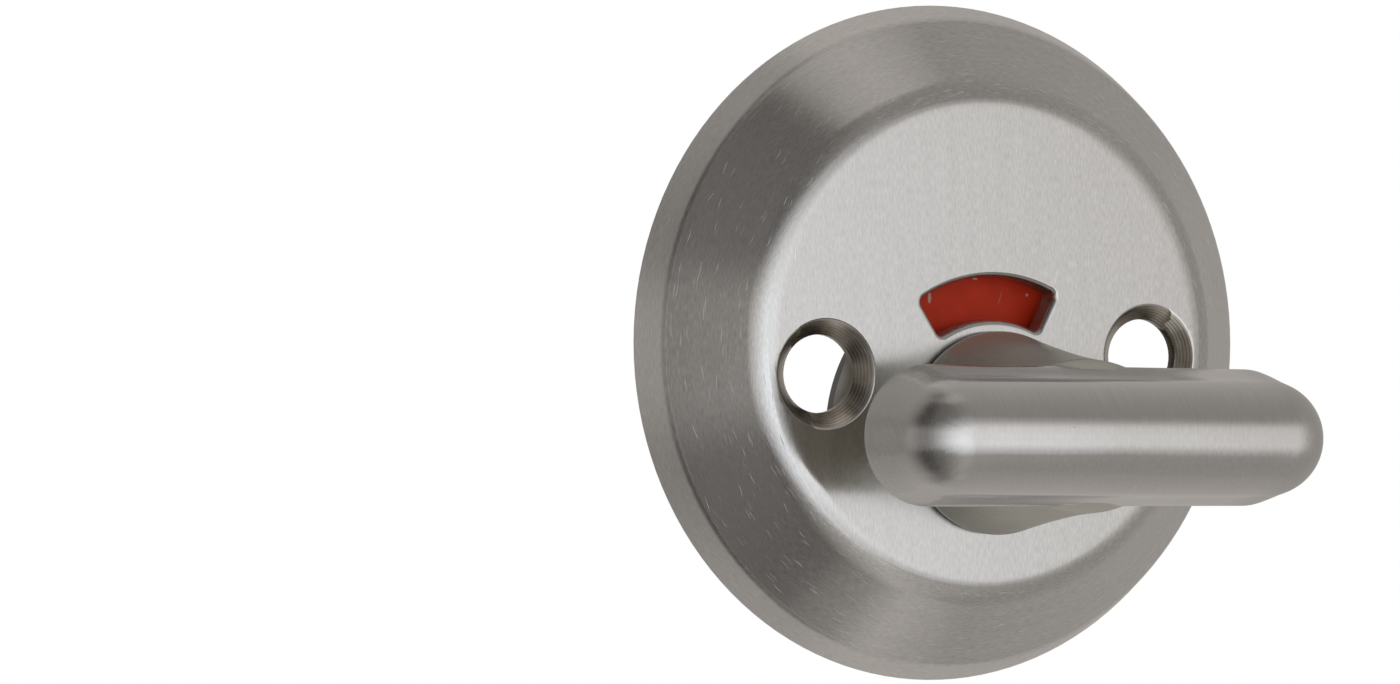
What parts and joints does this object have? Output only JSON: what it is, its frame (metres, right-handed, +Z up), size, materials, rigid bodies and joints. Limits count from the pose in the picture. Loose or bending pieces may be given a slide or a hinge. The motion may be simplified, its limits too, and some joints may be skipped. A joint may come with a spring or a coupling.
{
  "type": "bathroom thumbturn",
  "caption": "Round rose with a grip-bar thumbturn on a short neck, a red and white privacy indicator behind a curved window, countersunk screw holes and a square spindle.",
  "frame": {"origin": "centre of the rose on the door face", "axes": "+Z up, the front faces -Y, +Y runs into the door; the spindle axis is 7.6 mm below the rose's centre"},
  "size_m": [0.058, 0.0473, 0.058],
  "materials": {
    "cover_nickel": "satin, brushed",
    "turn_nickel": "satin, brushed across the bar",
    "bush_plastic": "moulded",
    "white_paint": "gloss",
    "red_paint": "gloss",
    "spring_steel": "oiled",
    "spindle_steel": "zinc plated"
  },
  "bodies": {
    "rose": {"rose_cover": "cover_nickel", "bearing_bush": "bush_plastic", "wave_washer": "spring_steel"},
    "turn": {"thumbturn": "turn_nickel", "indicator_disc": "white_paint", "red_field_upper": "red_paint", "red_field_lower": "red_paint", "retaining_ring": "spring_steel", "spindle": "spindle_steel"}
  },
  "joints": [
    {"name": "thumbturn_pivot", "type": "hinge", "parent": "rose", "child": "turn", "pos_m": [0, -0.0086, -0.0076], "axis": [0, -1, 0], "range_deg": [-86.5, 93.5]}
  ]
}
